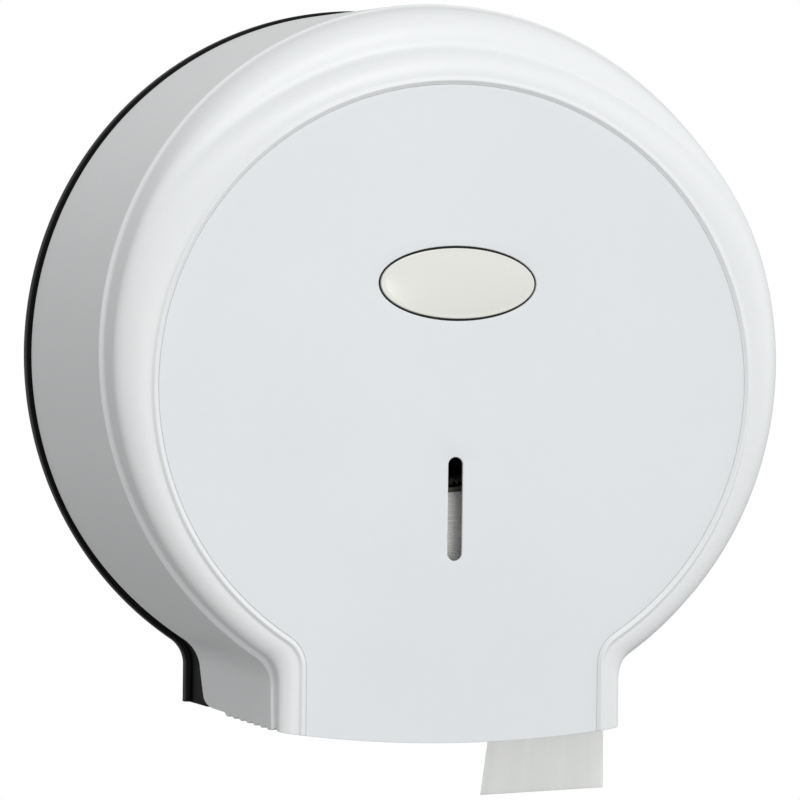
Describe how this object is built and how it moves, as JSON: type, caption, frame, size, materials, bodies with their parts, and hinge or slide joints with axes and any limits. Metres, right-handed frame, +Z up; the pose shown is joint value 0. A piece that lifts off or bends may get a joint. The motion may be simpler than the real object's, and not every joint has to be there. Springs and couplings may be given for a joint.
{
  "type": "jumbo toilet roll dispenser",
  "caption": "Wall-mounted drum-shaped dispenser for a jumbo toilet roll, with a bottom-hinged locking cover, a sight slot and a toothed paper exit in its neck.",
  "frame": {"origin": "centre of the drum on the wall plane, which is also the centre of the four wall holes", "axes": "+Z up, +Y into the wall along the spindle, +X to the right seen from the front"},
  "size_m": [0.27, 0.1255, 0.3096],
  "materials": {
    "black_plate": "black ABS, satin",
    "cover_shell": "white ABS, polished",
    "cover_panel": "white ABS, polished",
    "badge_face": "warm white ABS, polished",
    "badge_edge": "black, matt",
    "hub_plastic": "dark ABS, satin",
    "bush_nylon": "natural nylon",
    "zinc_steel": "bright zinc plate",
    "turned_steel": "turned steel",
    "lock_chrome": "bright chrome",
    "lock_brass": "machined brass",
    "tissue": "soft two-ply tissue",
    "core_card": "wound grey-brown card"
  },
  "bodies": {
    "root": {"back_plate": "black_plate", "spindle_bracket": "hub_plastic", "bracket_screws": "zinc_steel", "axle": "turned_steel", "axle_washer": "zinc_steel", "retainer_screw": "zinc_steel", "latch_catch": "zinc_steel", "catch_screws": "zinc_steel", "hinge_pin_left": "turned_steel", "hinge_pin_right": "turned_steel", "paper_tail": "tissue"},
    "roll": {"roll_hub": "hub_plastic", "hub_bush_rear": "bush_nylon", "hub_bush_front": "bush_nylon", "roll_core": "core_card", "paper_roll": "tissue"},
    "cover": {"front_cover": "cover_shell", "face_panel": "cover_panel", "panel_screws": "zinc_steel", "badge_plate": "badge_face", "badge_backing": "badge_edge", "badge_push_nuts": "zinc_steel", "lock_barrel": "lock_chrome", "lock_nut": "zinc_steel"},
    "lock": {"lock_plug": "lock_brass", "lock_cam": "zinc_steel", "cam_screw": "zinc_steel"}
  },
  "joints": [
    {"name": "roll_spin", "type": "hinge", "parent": "root", "child": "roll", "pos_m": [0, 0, -0.012], "axis": [0, 1, 0], "continuous": true},
    {"name": "cover_hinge", "type": "hinge", "parent": "root", "child": "cover", "pos_m": [0, -0.034, -0.1315], "axis": [1, 0, 0], "range_deg": [0, 95]},
    {"name": "lock_turn", "type": "hinge", "parent": "cover", "child": "lock", "pos_m": [0, -0.03, 0.121], "axis": [0, 0, 1], "range_deg": [0, 90]}
  ]
}
